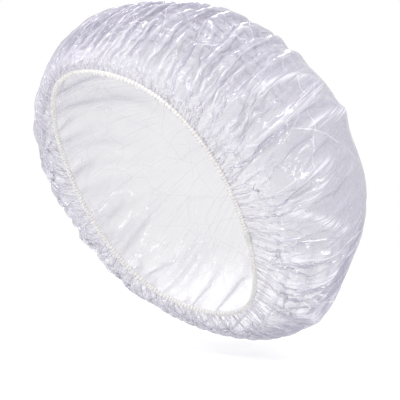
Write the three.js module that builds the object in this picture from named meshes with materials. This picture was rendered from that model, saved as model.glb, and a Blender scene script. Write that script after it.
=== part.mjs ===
// A disposable shower cap in the shape that it takes on a head: a crown of thin film, gathered into a
// stitched hem that holds an elastic strand. Millimetres, +Z up, the face towards -Y, the wearer's left at
// +X, and the origin in the middle of the opening.
import * as THREE from "three";

// Driving dimensions of the opening and the crown, in millimetres and degrees
const OPENING_LENGTH = 245; // forehead to nape, along the slanted loop of the hem
const OPENING_WIDTH = 162; // side to side
const OPENING_TILT = 53.5; // slope of the loop, with its forehead end up
const SIDE_SWEEP = 4; // how far the loop bows away from a flat oval
const FRONT_PUFF = 9; // how far the film stands out past the hem at the forehead
const SIDE_PUFF = 54; // the same at each side
const NAPE_PUFF = 50; // the same at the nape
const WIDEST_HEIGHT = 40; // height above the opening where the film stands out most
const CROWN_HEIGHT = 158; // height of the peak above the opening
const PEAK_SETBACK = 19; // how far the peak lies behind the opening's middle
const CROWN_FULLNESS = 0.9; // 1 makes an elliptical crown, and less makes a squarer one

// Where the crown swells out or sinks in: degrees round from the forehead towards the wearer's left, degrees
// up from the widest line, millimetres out, and degrees of reach
const SWELLS = [
  [113, 25, 5, 15],
  [133, 10, -6, 13],
  [75, 40, 3.5, 14],
  [35, 38, -2.5, 14],
  [0, 28, -4.5, 17],
  [-24, 6, 1, 14],
  [-40, -5, -6, 13],
];

// Driving dimensions of the pieces
const FILM_WALL = 0.8;
const PLEATS = 26;
const PLEAT_DEPTH = 5; // crest to valley, where the pleats are deepest
const GATHER_DEPTH = 2; // crest to valley, at the hem
const PLEAT_RISE = 25; // distance from the hem over which the pleats deepen
const ELASTIC_DIAMETER = 1.7;
const CASING_WALL = 0.4;
const CASING_SLIT = 60; // degrees of the casing's round that its turned edge leaves open
const JOIN_LENGTH = 8;
const JOIN_WALL = 0.5;
const JOIN_TURN = 104; // degrees round the loop, from the forehead towards the wearer's left
const JOIN_END_GAP = 0.6; // between the strand's two ends
const THREAD_DIAMETER = 0.5;
const STITCH_PITCH = 6;
const STITCH_REACH = 45; // degrees that a stitch runs to each side of the casing's face

// Clearances
const FIT = 0.3; // between pieces that touch on the real cap
const FACET_SAG = 0.3; // how far a straight facet of the film can fall inside the loop's curve

// How finely the pieces are drawn
const LOOP_STEPS = 96;
const ARC_STEPS = 4; // for each half of a round section
const SKIRT_ROWS = 5; // from the hem to where the film stands out most
const DOME_ROWS = 6; // from there up to the peak

// Sizes that follow from those above
const strandRadius = ELASTIC_DIAMETER / 2;
const casingBore = strandRadius + FIT;
const casingRadius = casingBore + CASING_WALL;
const threadRadius = THREAD_DIAMETER / 2;
const filmSeat = casingRadius + FIT + FACET_SAG;
const tilt = THREE.MathUtils.degToRad(OPENING_TILT);
const joinTurn = THREE.MathUtils.degToRad(JOIN_TURN);

// Directions of the opening: along it from the nape to the forehead, and up through the crown
const FORWARD = new THREE.Vector3(0, -Math.cos(tilt), Math.sin(tilt));
const CROWN = new THREE.Vector3(0, Math.sin(tilt), Math.cos(tilt));
const SIDE = new THREE.Vector3(1, 0, 0);

// The middle of the crown, on the line from its peak and level with its widest line
const MIDDLE = new THREE.Vector3()
  .addScaledVector(FORWARD, -PEAK_SETBACK)
  .addScaledVector(CROWN, WIDEST_HEIGHT);

const MATERIALS = {
  film: new THREE.MeshStandardMaterial({ color: 0xdfe1ec, roughness: 0.2 }),
  hem: new THREE.MeshStandardMaterial({ color: 0xeeeef2, roughness: 0.45 }),
  elastic: new THREE.MeshStandardMaterial({ color: 0xf6f4ef, roughness: 0.85 }),
  thread: new THREE.MeshStandardMaterial({ color: 0xfafafa, roughness: 0.9 }),
};
MATERIALS.film.transparent = true;
MATERIALS.film.opacity = 0.35;
MATERIALS.hem.transparent = true;
MATERIALS.hem.opacity = 0.7;

const cap = new THREE.Group();
cap.name = "shower_cap";

// The point of the loop at a turn from the forehead, in radians
function loopPoint(turn) {
  const sweep = SIDE_SWEEP * (Math.cos(turn) - Math.cos(3 * turn));
  const point = new THREE.Vector3((OPENING_WIDTH / 2) * Math.sin(turn), 0, sweep);
  return point.addScaledVector(FORWARD, (OPENING_LENGTH / 2) * Math.cos(turn));
}

// The loop's point, its speed for each radian, and the directions along it, out of the opening and down from
// the crown
function loopFrame(turn) {
  const step = 1e-4;
  const at = loopPoint(turn);
  const travel = loopPoint(turn + step).sub(loopPoint(turn - step)).divideScalar(2 * step);
  const along = travel.clone().normalize();
  const out = at.clone().addScaledVector(CROWN, -at.dot(CROWN));
  out.addScaledVector(along, -out.dot(along)).normalize();
  const down = new THREE.Vector3().crossVectors(along, out);
  return { at, speed: travel.length(), along, out, down };
}

// A point beside the loop, given by its distance and its angle from out towards down
function besideLoop(turn, distance, angle) {
  const { at, out, down } = loopFrame(turn);
  return at
    .addScaledVector(out, distance * Math.cos(angle))
    .addScaledVector(down, distance * Math.sin(angle));
}

// The two turns that lie a given distance to either side of the join, the far one a whole turn on
function turnsPastJoin(distance) {
  const half = distance / loopFrame(joinTurn).speed;
  return [joinTurn + half, joinTurn + 2 * Math.PI - half];
}

// Evenly spaced values from one end to the other, both included
function spread(from, to, steps) {
  return Array.from({ length: steps + 1 }, (_, i) => from + ((to - from) * i) / steps);
}

// The quads between rings of points that all run the same way round
function bands(rings) {
  const count = rings[0].length;
  const faces = [];
  for (let row = 1; row < rings.length; row++) {
    for (let i = 0; i < count; i++) {
      const a = (row - 1) * count + i;
      const b = (row - 1) * count + ((i + 1) % count);
      faces.push(a, b, b + count, a, b + count, a + count);
    }
  }
  return faces;
}

function geometryOf(points, faces) {
  const geometry = new THREE.BufferGeometry().setFromPoints(points);
  geometry.setIndex(faces);
  geometry.computeVertexNormals();
  return geometry;
}

// A solid through rings of points, with the flat outline of each end ring filled in
function cappedSolid(rings, outline) {
  const faces = bands(rings);
  const last = (rings.length - 1) * outline.length;
  for (const [a, b, c] of THREE.ShapeUtils.triangulateShape(outline, [])) {
    faces.push(a, c, b, last + a, last + b, last + c);
  }
  return geometryOf(rings.flat(), faces);
}

// A thin shell between two like stacks of rings: a rim joins their first rings, and a pole closes each
// stack's top. Both stacks are cut into triangles the same way, so that the two sides never cross.
function shellSolid(outside, inside, outerPole, innerPole) {
  const count = outside[0].length;
  const size = outside.length * count;
  const top = size - count;
  const faces = bands(outside);
  for (let i = 0, outer = faces.length; i < outer; i += 3) {
    faces.push(faces[i] + size, faces[i + 2] + size, faces[i + 1] + size);
  }
  for (let i = 0; i < count; i++) {
    const next = (i + 1) % count;
    faces.push(next, i, size + i, next, size + i, size + next);
    faces.push(top + i, top + next, 2 * size, size + top + next, size + top + i, 2 * size + 1);
  }
  return geometryOf([...outside.flat(), ...inside.flat(), outerPole, innerPole], faces);
}

// A section swept round the loop between two turns: its points are distances and angles beside the loop
function sweptRoundLoop(section, [from, to], steps) {
  const outline = section.map(([d, angle]) => new THREE.Vector2(d * Math.cos(angle), d * Math.sin(angle)));
  const rings = spread(from, to, steps).map((turn) =>
    section.map(([distance, angle]) => besideLoop(turn, distance, angle)),
  );
  return cappedSolid(rings, outline);
}

// A round section of a strand
function roundSection(radius, sides) {
  return spread(0, 2 * Math.PI, sides).slice(0, -1).map((angle) => [radius, angle]);
}

// The section of a thin channel with a slit on its inner side, towards the head
function channelSection(bore, wall, slitDegrees) {
  const half = Math.PI - THREE.MathUtils.degToRad(slitDegrees) / 2;
  const outside = spread(-half, half, 2 * ARC_STEPS).map((angle) => [bore + wall, angle]);
  const inside = spread(half, -half, 2 * ARC_STEPS).map((angle) => [bore, angle]);
  return [...outside, ...inside];
}

function addPiece(name, geometry, material) {
  const mesh = new THREE.Mesh(geometry, material);
  mesh.name = name;
  cap.add(mesh);
}

// How far the crown swells out at a point of it, as a step away from its middle
function swellAt(point) {
  const away = point.clone().sub(MIDDLE).normalize();
  let out = 0;
  for (const [round, up, height, reach] of SWELLS) {
    const [heading, rise] = [THREE.MathUtils.degToRad(round), THREE.MathUtils.degToRad(up)];
    const place = new THREE.Vector3()
      .addScaledVector(FORWARD, Math.cos(rise) * Math.cos(heading))
      .addScaledVector(SIDE, Math.cos(rise) * Math.sin(heading))
      .addScaledVector(CROWN, Math.sin(rise));
    out += height * Math.exp(-((THREE.MathUtils.radToDeg(away.angleTo(place)) / reach) ** 2));
  }
  return away.multiplyScalar(out);
}

// The film's smooth surface: share 0 is at the hem, 1 is where it stands out most, and 2 is at the peak
function smoothFilm(turn, share) {
  const hem = besideLoop(turn, filmSeat, 0);
  const [side, ahead, height] = [hem.x, hem.dot(FORWARD) + PEAK_SETBACK, hem.dot(CROWN)];
  const heading = Math.atan2(side, ahead);
  const [sine, cosine] = [Math.sin(heading), Math.cos(heading)];
  const puff = cosine > 0 ? FRONT_PUFF + PEAK_SETBACK : NAPE_PUFF - PEAK_SETBACK;
  const halfWidth = OPENING_WIDTH / 2 + SIDE_PUFF;
  const halfLength = OPENING_LENGTH / 2 + puff;
  const widest = 1 / Math.hypot(sine / halfWidth, cosine / halfLength);
  let radius = 0;
  let rise = 0;
  if (share <= 1) {
    const lean = (share * Math.PI) / 2;
    radius = THREE.MathUtils.lerp(Math.hypot(side, ahead), widest, Math.sin(lean));
    rise = THREE.MathUtils.lerp(height, WIDEST_HEIGHT, 1 - Math.cos(lean));
  } else {
    const lean = ((share - 1) * Math.PI) / 2;
    radius = widest * Math.max(Math.cos(lean), 0) ** CROWN_FULLNESS;
    rise = THREE.MathUtils.lerp(WIDEST_HEIGHT, CROWN_HEIGHT, Math.sin(lean) ** CROWN_FULLNESS);
  }
  const point = new THREE.Vector3(radius * sine, 0, 0)
    .addScaledVector(FORWARD, radius * cosine - PEAK_SETBACK)
    .addScaledVector(CROWN, rise);
  const grown = Math.sin((Math.min(share, 1) * Math.PI) / 2) ** 2;
  return point.addScaledVector(swellAt(point), grown);
}

// The way out of the smooth film
function filmNormal(turn, share) {
  const step = 1e-3;
  const round = smoothFilm(turn + step, share).sub(smoothFilm(turn - step, share));
  const up = smoothFilm(turn, share + step).sub(smoothFilm(turn, Math.max(share - step, 0)));
  return new THREE.Vector3().crossVectors(round, up).normalize();
}

// Half the pleats' depth: it grows from the gathers at the hem and dies out towards the peak
function pleatHalfDepth(turn, share) {
  const reach = smoothFilm(turn, share).distanceTo(smoothFilm(turn, 0));
  const depth = THREE.MathUtils.lerp(GATHER_DEPTH, PLEAT_DEPTH, Math.min(reach / PLEAT_RISE, 1));
  return (depth / 2) * (1 - (share / 2) ** 2) ** 2;
}

// The crown: a pleated shell from the hem up to the peak
function crownFilm() {
  const skirt = spread(0, 1, SKIRT_ROWS);
  const dome = spread(1, 2, DOME_ROWS).slice(1, -1);
  const shares = [...skirt, ...dome];
  const turns = spread(0, 2 * Math.PI, 2 * PLEATS).slice(0, -1);
  const ringAt = (share, offset) =>
    turns.map((turn, i) => {
      const fold = pleatHalfDepth(turn, share) * (i % 2 ? -1 : 1);
      return smoothFilm(turn, share).addScaledVector(filmNormal(turn, share), fold + offset);
    });
  const outside = shares.map((share) => ringAt(share, FILM_WALL / 2));
  const inside = shares.map((share) => ringAt(share, -FILM_WALL / 2));
  const peak = smoothFilm(0, 2);
  const pole = (offset) => peak.clone().addScaledVector(CROWN, offset);
  return shellSolid(outside, inside, pole(FILM_WALL / 2), pole(-FILM_WALL / 2));
}

// The zigzag stitch: a thread that crosses the face of the casing, to and fro, all the way round
function stitchingThread() {
  const distance = casingRadius + FIT + threadRadius;
  const [from, to] = turnsPastJoin(JOIN_LENGTH / 2 + FIT);
  const length = spread(from, to, LOOP_STEPS).reduce(
    (sum, turn, i, all) => (i ? sum + loopPoint(turn).distanceTo(loopPoint(all[i - 1])) : 0),
    0,
  );
  const stitches = Math.round(length / STITCH_PITCH);
  const reach = THREE.MathUtils.degToRad(STITCH_REACH);
  const across = [-reach, 0, reach, 0];
  const path = spread(from, to, 4 * stitches).map((turn, i) => [turn, across[i % 4] + Math.PI / 2]);
  const corners = spread(0, 2 * Math.PI, 4).slice(0, -1);
  const rings = path.map(([turn, angle], i) => {
    const [before, after] = [path[Math.max(i - 1, 0)], path[Math.min(i + 1, path.length - 1)]];
    const at = besideLoop(turn, distance, angle);
    const run = besideLoop(after[0], distance, after[1]).sub(besideLoop(before[0], distance, before[1]));
    const away = at.clone().sub(loopPoint(turn)).normalize();
    const aside = new THREE.Vector3().crossVectors(away, run).normalize();
    return corners.map((corner) =>
      at
        .clone()
        .addScaledVector(aside, threadRadius * Math.cos(corner))
        .addScaledVector(away, threadRadius * Math.sin(corner)),
    );
  });
  const outline = corners.map((corner) => new THREE.Vector2(Math.cos(corner), Math.sin(corner)));
  return cappedSolid(rings, outline);
}

const strand = sweptRoundLoop(
  roundSection(strandRadius, 2 * ARC_STEPS),
  turnsPastJoin(JOIN_END_GAP / 2),
  LOOP_STEPS,
);
const casing = sweptRoundLoop(
  channelSection(casingBore, CASING_WALL, CASING_SLIT),
  turnsPastJoin(JOIN_LENGTH / 2 + FIT),
  LOOP_STEPS,
);
const joinHalfTurn = JOIN_LENGTH / 2 / loopFrame(joinTurn).speed;
const join = sweptRoundLoop(
  channelSection(casingBore, JOIN_WALL, CASING_SLIT),
  [joinTurn - joinHalfTurn, joinTurn + joinHalfTurn],
  ARC_STEPS,
);

addPiece("crown_film", crownFilm(), MATERIALS.film);
addPiece("hem_casing", casing, MATERIALS.hem);
addPiece("elastic_band", strand, MATERIALS.elastic);
addPiece("elastic_join", join, MATERIALS.thread);
addPiece("hem_stitching", stitchingThread(), MATERIALS.thread);

export default cap;
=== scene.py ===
# %% [markdown]
# # A gathered film shower cap
# The cap is one round sheet of very thin polyethylene film, gathered into a narrow hem. The hem is a film
# casing, sewn with a zigzag thread, round an elastic strand whose two ends are sewn together at one side.
# The solids of the part are loaded first. They give the frame, the sizes and the way the crown collapses.
# The pieces below replace them one by one with the fuller forms that thin film really takes.

import math

import bpy
import numpy as np
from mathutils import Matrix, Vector


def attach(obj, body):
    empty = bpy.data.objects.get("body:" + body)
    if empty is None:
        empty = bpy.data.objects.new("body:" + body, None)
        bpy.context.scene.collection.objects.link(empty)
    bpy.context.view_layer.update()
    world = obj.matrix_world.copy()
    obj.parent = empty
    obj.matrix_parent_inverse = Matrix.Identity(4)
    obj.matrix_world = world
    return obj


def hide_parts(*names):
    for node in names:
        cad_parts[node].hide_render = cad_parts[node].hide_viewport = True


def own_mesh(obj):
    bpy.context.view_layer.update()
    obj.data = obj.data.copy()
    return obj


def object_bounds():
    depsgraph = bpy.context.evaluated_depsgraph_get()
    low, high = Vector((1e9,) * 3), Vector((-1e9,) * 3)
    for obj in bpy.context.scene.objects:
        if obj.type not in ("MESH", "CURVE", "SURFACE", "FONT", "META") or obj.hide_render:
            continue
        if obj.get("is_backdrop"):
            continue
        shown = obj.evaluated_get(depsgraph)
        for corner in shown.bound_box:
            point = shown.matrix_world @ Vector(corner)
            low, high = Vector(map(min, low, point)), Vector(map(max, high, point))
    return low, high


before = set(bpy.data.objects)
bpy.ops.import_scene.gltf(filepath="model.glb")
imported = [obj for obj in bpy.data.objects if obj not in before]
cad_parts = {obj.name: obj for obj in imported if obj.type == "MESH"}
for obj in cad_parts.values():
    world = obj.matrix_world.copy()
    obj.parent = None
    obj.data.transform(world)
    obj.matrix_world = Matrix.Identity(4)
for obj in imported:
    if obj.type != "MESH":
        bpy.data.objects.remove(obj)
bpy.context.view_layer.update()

# %% [markdown]
# ## Camera
# The picture is taken from a little above the opening's level, with the opening turned half towards the
# lens. A long lens from 1.6 m keeps the oval of the hem from looking stretched. The camera could be framed
# by eye, but here it is set from the width of the view at the cap, so the picture's scale is known.

# %% Set the camera
scene = bpy.context.scene
VIEW_TURN, VIEW_RISE = math.radians(40), math.radians(5.3)
VIEW_DISTANCE, VIEW_WIDTH, SENSOR_WIDTH = 1.6, 0.3088, 36
AIM_ASIDE, AIM_UP = 0.0354, -0.0022

toward = Vector(
    (
        math.sin(VIEW_TURN) * math.cos(VIEW_RISE),
        -math.cos(VIEW_TURN) * math.cos(VIEW_RISE),
        math.sin(VIEW_RISE),
    )
)
sideways = Vector((math.cos(VIEW_TURN), math.sin(VIEW_TURN), 0))
aim = sideways * AIM_ASIDE + toward.cross(sideways) * AIM_UP

lens = bpy.data.cameras.new("picture_camera")
camera = bpy.data.objects.new("picture_camera", lens)
scene.collection.objects.link(camera)
camera.location = aim + toward * VIEW_DISTANCE
camera.rotation_euler = toward.to_track_quat("Z", "Y").to_euler()
lens.sensor_width = SENSOR_WIDTH
lens.lens = SENSOR_WIDTH * VIEW_DISTANCE / VIEW_WIDTH
scene.camera = camera
print("lens, mm:", round(lens.lens, 1))

# %% [markdown]
# ## Floor and light
# Clear film is seen by what it reflects, so the lamps matter as much as the film. Tall soft boxes at both
# sides and behind draw long glints along the pleats, a small one in front puts bright points on the folds,
# a broad one overhead fills the crown, and a pale room lights the rest. One big lamp would light the cap as
# well, but it would leave the film dull. The floor is white paper. A part of its white is its own glow for
# rays that come from the camera, straight or by a reflection, so it stays white in the picture and still
# holds the cap's shadow. It lies a little under the cap, because the film at the nape comes down when the
# crown is pushed flat.

# %% Light the room
LAYERS_SEEN_THROUGH = 48
scene.view_settings.view_transform = "Standard"
scene.cycles.transparent_max_bounces = LAYERS_SEEN_THROUGH


def soft_box(name, place, across, tall, power):
    """A rectangular lamp that faces the cap."""
    data = bpy.data.lights.new(name, "AREA")
    data.shape, data.size, data.size_y, data.energy = "RECTANGLE", across, tall, power
    lamp = bpy.data.objects.new(name, data)
    lamp.location = place
    lamp.rotation_euler = Vector(place).to_track_quat("Z", "Y").to_euler()
    scene.collection.objects.link(lamp)
    return lamp


lamps = [
    soft_box("left_soft_box", (-0.55, -1.35, 0.75), 0.16, 0.9, 8),
    soft_box("right_soft_box", (1.45, -0.15, 0.65), 0.16, 0.9, 8),
    soft_box("front_soft_box", (0.75, -0.95, 1.25), 0.26, 0.26, 7),
    soft_box("back_soft_box", (-0.9, 1.2, 0.8), 0.12, 0.8, 5),
    soft_box("top_soft_box", (0.1, 0.25, 1.5), 0.35, 0.35, 6),
]
print("lamps:", [lamp.name for lamp in lamps])

# %% Make the pale room
ROOM_LIGHT = 0.55


def add(tree, kind, values=None, links=None, **settings):
    """A node with its settings, its plain values and its links, in one line."""
    node = tree.nodes.new(kind)
    for key, value in settings.items():
        setattr(node, key, value)
    for key, value in (values or {}).items():
        node.inputs[key].default_value = value
    for key, source in (links or {}).items():
        tree.links.new(source, node.inputs[key])
    return node


def both(tree, first, second, operation):
    return add(tree, "ShaderNodeMath", None, {0: first, 1: second}, operation=operation).outputs[0]


def blend_values(tree, factor, low, high):
    """A number that goes from low to high as the factor goes from 0 to 1."""
    return add(tree, "ShaderNodeMapRange", {"To Min": low, "To Max": high}, {"Value": factor}).outputs[0]


def seen_by_eye(tree):
    """1 for rays from the camera, straight or by a mirror or glass, and 0 for light on the cap."""
    rays = add(tree, "ShaderNodeLightPath").outputs
    mirrored = both(tree, rays["Is Camera Ray"], rays["Is Glossy Ray"], "MAXIMUM")
    return both(tree, mirrored, rays["Is Transmission Ray"], "MAXIMUM")


room = bpy.data.worlds.new("pale_room")
room.use_nodes = True
scene.world = room
tree, sky = room.node_tree, room.node_tree.nodes["Background"]
sky.inputs["Color"].default_value = (1, 1, 1, 1)
tree.links.new(blend_values(tree, seen_by_eye(tree), ROOM_LIGHT, 1.0), sky.inputs["Strength"])
print("room's light on the cap:", ROOM_LIGHT)

# %% Lay the floor
FLOOR_DROP, FLOOR_REACH = 0.012, 12.0
PAPER_TONES, PAPER_GLOW = (0.84, 0.88), 0.30
WHITE_FROM, WHITE_BEYOND = 0.35, 0.9


def ramp(tree, value, start, end, low=0.0, high=1.0):
    """A number that eases from low to high as the value goes from start to end."""
    limits = {"From Min": start, "From Max": end, "To Min": low, "To Max": high}
    node = add(tree, "ShaderNodeMapRange", limits, {"Value": value}, interpolation_type="SMOOTHSTEP")
    return node.outputs[0]


def new_finish(name):
    material = bpy.data.materials.new(name)
    material.use_nodes = True
    return material, material.node_tree, material.node_tree.nodes["Principled BSDF"]


paper, tree, shade = new_finish("white_paper")
shade.inputs["Roughness"].default_value = 0.9
shade.inputs["Specular IOR Level"].default_value = 0.1
shade.inputs["Emission Color"].default_value = (1, 1, 1, 1)
grain = add(tree, "ShaderNodeTexNoise", {"Scale": 90, "Detail": 4}).outputs["Fac"]
tree.links.new(blend_values(tree, grain, *PAPER_TONES), shade.inputs["Base Color"])
seen = seen_by_eye(tree)
tree.links.new(blend_values(tree, seen, 0.0, PAPER_GLOW), shade.inputs["Emission Strength"])
place = add(tree, "ShaderNodeTexCoord").outputs["Object"]
how_far = add(tree, "ShaderNodeVectorMath", None, {0: place}, operation="LENGTH").outputs["Value"]
far_seen = both(tree, ramp(tree, how_far, WHITE_FROM, WHITE_BEYOND), seen, "MULTIPLY")
bright = add(tree, "ShaderNodeEmission")
ends = add(tree, "ShaderNodeMixShader", None, {0: far_seen, 1: shade.outputs[0], 2: bright.outputs[0]})
tree.links.new(ends.outputs[0], tree.nodes["Material Output"].inputs["Surface"])

floor_mesh = bpy.data.meshes.new("paper_floor")
corners = [(x * FLOOR_REACH, y * FLOOR_REACH, 0) for x, y in ((-1, -1), (1, -1), (1, 1), (-1, 1))]
floor_mesh.from_pydata(corners, [], [(0, 1, 2, 3)])
floor_mesh.materials.append(paper)
paper_floor = bpy.data.objects.new("paper_floor", floor_mesh)
scene.collection.objects.link(paper_floor)
paper_floor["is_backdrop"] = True
print("floor half width, metres:", FLOOR_REACH)

# %% [markdown]
# ## The line of the hem and the smooth crown
# Every piece follows one line: the slanted, slightly bowed oval of the opening. Above it stands the crown,
# as a smooth dome without its folds. It isn't even: it swells or dips at a few places, each given by its
# heading and rise in degrees, how far it stands out in mm and its reach in degrees. All of it comes from
# the same few sizes as the solids, so what is built on them stays in the solids' frame. A turn is an angle
# round the opening, and a share runs from 0 at the hem over 1 where the film stands out most to 2 at the
# peak.

# %% Draw the hem line and the smooth crown
OPENING_LENGTH, OPENING_WIDTH, TILT = 0.245, 0.162, math.radians(53.5)
SIDE_SWEEP, FRONT_PUFF, SIDE_PUFF, NAPE_PUFF = 0.004, 0.009, 0.054, 0.050
WIDEST_HEIGHT, CROWN_HEIGHT, PEAK_SETBACK, CROWN_FULLNESS = 0.040, 0.158, 0.019, 0.9
AHEAD = np.array([0, -math.cos(TILT), math.sin(TILT)])
UP = np.array([0, math.sin(TILT), math.cos(TILT)])
MIDDLE = -PEAK_SETBACK * AHEAD + WIDEST_HEIGHT * UP
SWELLS = [
    (113, 25, 5, 15),
    (133, 10, -6, 13),
    (75, 40, 3.5, 14),
    (35, 38, -2.5, 14),
    (0, 28, -4.5, 17),
    (-24, 6, 1, 14),
    (-40, -5, -6, 13),
]


def hem_line(turn):
    turn = np.asarray(turn, float)
    point = (OPENING_LENGTH / 2 * np.cos(turn))[..., None] * AHEAD
    point[..., 0] += OPENING_WIDTH / 2 * np.sin(turn)
    point[..., 2] += SIDE_SWEEP * (np.cos(turn) - np.cos(3 * turn))
    return point


def smooth_crown(turn, share):
    hem = hem_line(turn)
    side, ahead, rise = hem[..., 0], hem @ AHEAD + PEAK_SETBACK, hem @ UP
    heading = np.arctan2(side, ahead)
    sine, cosine = np.sin(heading), np.cos(heading)
    puff = np.where(cosine > 0, FRONT_PUFF + PEAK_SETBACK, NAPE_PUFF - PEAK_SETBACK)
    widest = 1 / np.hypot(sine / (OPENING_WIDTH / 2 + SIDE_PUFF), cosine / (OPENING_LENGTH / 2 + puff))
    skirt = np.clip(share, 0, 1) * np.pi / 2
    dome = np.clip(share - 1, 0, 1) * np.pi / 2
    start = np.hypot(side, ahead)
    low = share <= 1
    dome_out = widest * np.maximum(np.cos(dome), 0) ** CROWN_FULLNESS
    dome_up = WIDEST_HEIGHT + (CROWN_HEIGHT - WIDEST_HEIGHT) * np.sin(dome) ** CROWN_FULLNESS
    out = np.where(low, start + (widest - start) * np.sin(skirt), dome_out)
    high = np.where(low, rise + (WIDEST_HEIGHT - rise) * (1 - np.cos(skirt)), dome_up)
    point = (out * cosine - PEAK_SETBACK)[..., None] * AHEAD + high[..., None] * UP
    point[..., 0] += out * sine
    return point + swell_at(point) * np.sin(skirt)[..., None] ** 2


def swell_at(point):
    """The uneven part of the crown: it stands out or in round a few places, away from its middle."""
    away = point - MIDDLE
    away /= np.linalg.norm(away, axis=-1)[..., None]
    total = np.zeros(point.shape[:-1])
    for heading, rise, out, reach in SWELLS:
        h, r = math.radians(heading), math.radians(rise)
        axis = math.cos(r) * (math.cos(h) * AHEAD + math.sin(h) * np.array([1, 0, 0])) + math.sin(r) * UP
        apart = np.degrees(np.arccos(np.clip(away @ axis, -1, 1)))
        total += out / 1000 * np.exp(-((apart / reach) ** 2))
    return total[..., None] * away


fine_turns = np.linspace(0, 2 * np.pi, 4001)
steps = np.linalg.norm(np.diff(hem_line(fine_turns), axis=0), axis=1)
hem_travel = np.r_[0, np.cumsum(steps)]
HEM_LENGTH = hem_travel[-1]


def turn_at(travel):
    """The turn at a distance along the hem line."""
    return np.interp(np.asarray(travel) % HEM_LENGTH, hem_travel, fine_turns)


print("hem length, mm:", round(HEM_LENGTH * 1000, 1))

# %% [markdown]
# ## The flat film
# A real cap starts as a flat disc. If the sheet is drawn as that disc first, its gathers and folds can
# come from the material itself instead of being sculpted: film hardly stretches, so all the extra length
# at the rim has to buckle. The disc is meshed in rings with random offsets, because a regular grid would
# fold along its own lines.

# %% Cut the disc
FILM_RADIUS, CENTRE_SHIFT = 0.283, 0.0155
RIM_EDGE, MIDDLE_EDGE = ((0.0028, 0.0044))
COARSER_OVER, RING_STEP, JITTER = 0.14, 0.88, 0.2
dice = np.random.default_rng(7)


def ring_sizes():
    rings, radius = [], FILM_RADIUS
    while radius > 1.5 * MIDDLE_EDGE:
        edge = RIM_EDGE + (MIDDLE_EDGE - RIM_EDGE) * min(1, (FILM_RADIUS - radius) / COARSER_OVER)
        rings.append((radius, max(8, round(2 * np.pi * radius / edge))))
        radius -= RING_STEP * edge
    return rings


def zipped(outer, outer_from, inner, inner_from):
    """Triangles between two rings of angles, taking the nearer next point each time."""
    made, i, j = [], 0, 0
    while i < len(outer) or j < len(inner):
        next_out = outer[(i + 1) % len(outer)] + 2 * np.pi * ((i + 1) // len(outer))
        next_in = inner[(j + 1) % len(inner)] + 2 * np.pi * ((j + 1) // len(inner))
        a, b = outer_from + i % len(outer), inner_from + j % len(inner)
        if j >= len(inner) or (i < len(outer) and next_out <= next_in):
            made.append((a, outer_from + (i + 1) % len(outer), b))
            i += 1
        else:
            made.append((a, inner_from + (j + 1) % len(inner), b))
            j += 1
    return made


def flat_disc():
    """Radius and angle of each point, the triangles, and the count of points on the rim."""
    angles, radii, starts = [], [], []
    for k, (radius, count) in enumerate(ring_sizes()):
        spacing = 2 * np.pi / count
        shift = 0 if k == 0 else dice.random() * spacing + JITTER * spacing * dice.uniform(-1, 1, count)
        starts.append(sum(len(a) for a in angles))
        angles.append(np.sort((np.arange(count) * spacing + shift) % (2 * np.pi)))
        radii.append(np.full(count, radius))
    triangles = []
    for k in range(len(angles) - 1):
        triangles += zipped(angles[k], starts[k], angles[k + 1], starts[k + 1])
    hub, last = sum(len(a) for a in angles), starts[-1]
    count = len(angles[-1])
    triangles += [(last + i, last + (i + 1) % count, hub) for i in range(count)]
    radius, angle = np.r_[np.concatenate(radii), 0], np.r_[np.concatenate(angles), 0]
    return radius, angle, np.array(triangles), len(angles[0])


disc_radius, disc_angle, triangles, rim_count = flat_disc()
flat = np.c_[disc_radius * np.cos(disc_angle), disc_radius * np.sin(disc_angle)]
on_rim = np.arange(len(flat)) < rim_count
print("disc:", len(flat), "points,", len(triangles), "triangles")

# %% [markdown]
# ## Laying the film on the crown
# The rim is pulled in evenly to the short hem line, and every radius of the disc is laid along the crown's
# curve above it. That squeezes the film to a third of its width at the hem, so the width that is left over
# goes into pleats, which are as deep as it asks. Fine pleats leave the hem, and further out they join into
# fewer and deeper ones, as gathered film does. They could be left to the solver below, but it would need
# far longer to find them. A little shake tells the film where else to buckle.

# %% Measure the crown's curves
RUN_TURNS, RUN_SHARES = 180, 80


def crown_runs():
    """How far along its curve each share of the crown lies, from 0 to 1, for a set of turns."""
    grid_turns, shares = np.linspace(0, 2 * np.pi, RUN_TURNS + 1), np.linspace(0, 2, RUN_SHARES + 1)
    rows = smooth_crown(*np.meshgrid(grid_turns, shares, indexing="ij"))
    runs = np.cumsum(np.linalg.norm(np.diff(rows, axis=1), axis=2), axis=1)
    front_side_nape = [0, RUN_TURNS // 4, RUN_TURNS // 2]
    print("crown curves from hem to peak, mm:", (1000 * runs[front_side_nape, -1]).round(1))
    runs = np.concatenate([np.zeros((len(grid_turns), 1)), runs], 1)
    return runs / runs[:, -1:], shares


runs, run_shares = crown_runs()


def laid_on_crown(along, angle):
    """The crown's point a part of the way from the rim at an angle to the peak."""
    place = turn_at(angle / (2 * np.pi) * HEM_LENGTH) / (2 * np.pi) * RUN_TURNS
    row = np.clip(place.astype(int), 0, RUN_TURNS - 1)
    part = place - row
    share = np.array(
        [np.interp(s, runs[r] * (1 - p) + runs[r + 1] * p, run_shares) for s, r, p in zip(along, row, part)]
    )
    return smooth_crown(place / RUN_TURNS * 2 * np.pi, share)


def rim_place():
    """For each point of the disc, the part of the way from the rim to the film's highest point, and the
    angle of the rim on that line."""
    from_peak = flat - (CENTRE_SHIFT, 0)
    reach = np.maximum(np.linalg.norm(from_peak, axis=1), 1e-9)
    ahead = CENTRE_SHIFT * from_peak[:, 0] / reach
    to_rim = -ahead + np.sqrt(ahead**2 - CENTRE_SHIFT**2 + FILM_RADIUS**2)
    rim = from_peak * (to_rim / reach)[:, None] + (CENTRE_SHIFT, 0)
    return np.clip(1 - reach / to_rim, 0, 1), np.arctan2(rim[:, 1], rim[:, 0]) % (2 * np.pi)


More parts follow.
